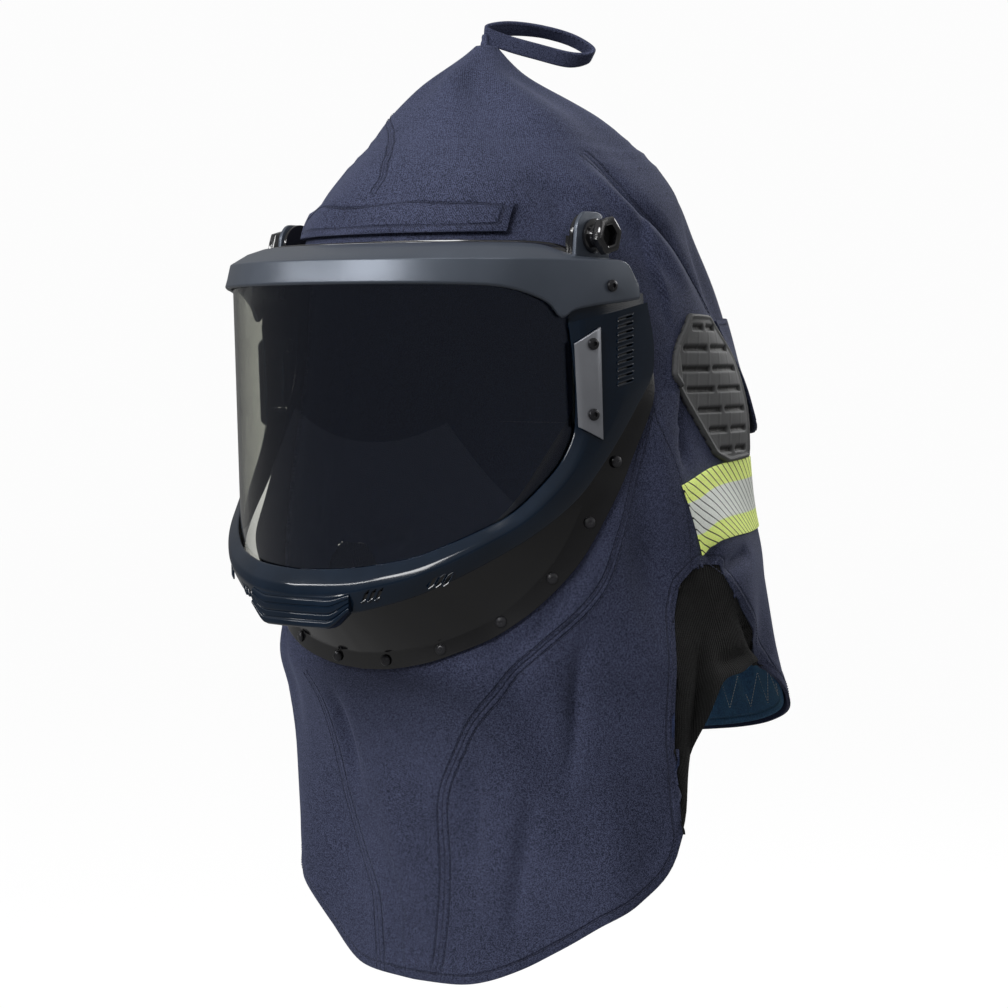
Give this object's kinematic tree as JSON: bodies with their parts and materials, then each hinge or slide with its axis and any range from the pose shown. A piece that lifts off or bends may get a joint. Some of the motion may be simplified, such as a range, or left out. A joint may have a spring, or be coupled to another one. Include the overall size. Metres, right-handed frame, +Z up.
{
  "type": "arc flash hood",
  "caption": "Cloth arc flash hood with a bib, a curved clear lift-up visor on two side pivots, knit shoulder gussets, side vent covers and a reflective band.",
  "frame": {"origin": "head seat, where the top of the wearer's head meets the inside of the crown", "axes": "+Z up, -Y to the front of the wearer, +X to the wearer's left"},
  "size_m": [0.3496, 0.4133, 0.6679],
  "materials": {
    "hood_cloth": "woven navy cloth",
    "knit": "black knit",
    "lining": "mid-blue quilted lining",
    "reflective_tape": "lime tape with a silver stripe",
    "frame_black": "black gloss plastic",
    "vent_rubber": "dark grey rubber",
    "fastener": "black fasteners",
    "lens": "clear grey-green window",
    "brow_grey": "satin blue-grey plastic",
    "visor_navy": "near-black navy gloss plastic",
    "plate_grey": "grey gloss plastic",
    "knob_black": "black plastic"
  },
  "bodies": {
    "hood": {"hood_shell": "hood_cloth", "gusset_left": "knit", "gusset_right": "knit", "back_lining": "lining", "hanging_loop": "hood_cloth", "forehead_flap": "hood_cloth", "rear_flap": "hood_cloth", "reflective_band": "reflective_tape", "face_frame": "frame_black", "vent_cover_left": "vent_rubber", "rivet_left_1": "fastener", "rivet_left_2": "fastener", "rivet_left_3": "fastener", "rivet_left_4": "fastener", "rivet_left_5": "fastener", "rivet_left_6": "fastener", "rivet_left_7": "fastener", "vent_cover_right": "vent_rubber", "rivet_right_1": "fastener", "rivet_right_2": "fastener", "rivet_right_3": "fastener", "rivet_right_4": "fastener", "rivet_right_5": "fastener", "rivet_right_6": "fastener", "rivet_right_7": "fastener"},
    "visor": {"visor_lens": "lens", "visor_brow": "brow_grey", "visor_lower_frame": "visor_navy", "side_plate_left": "plate_grey", "plate_screw_left_1": "fastener", "plate_screw_left_2": "fastener", "brow_screw_left": "fastener", "pivot_knob_left": "knob_black", "side_plate_right": "plate_grey", "plate_screw_right_1": "fastener", "plate_screw_right_2": "fastener", "brow_screw_right": "fastener", "pivot_knob_right": "knob_black"}
  },
  "joints": [
    {"name": "visor_lift", "type": "hinge", "parent": "hood", "child": "visor", "pos_m": [0, -0.04546, -0.063], "axis": [-1, 0, 0], "range_deg": [0, 75]}
  ]
}
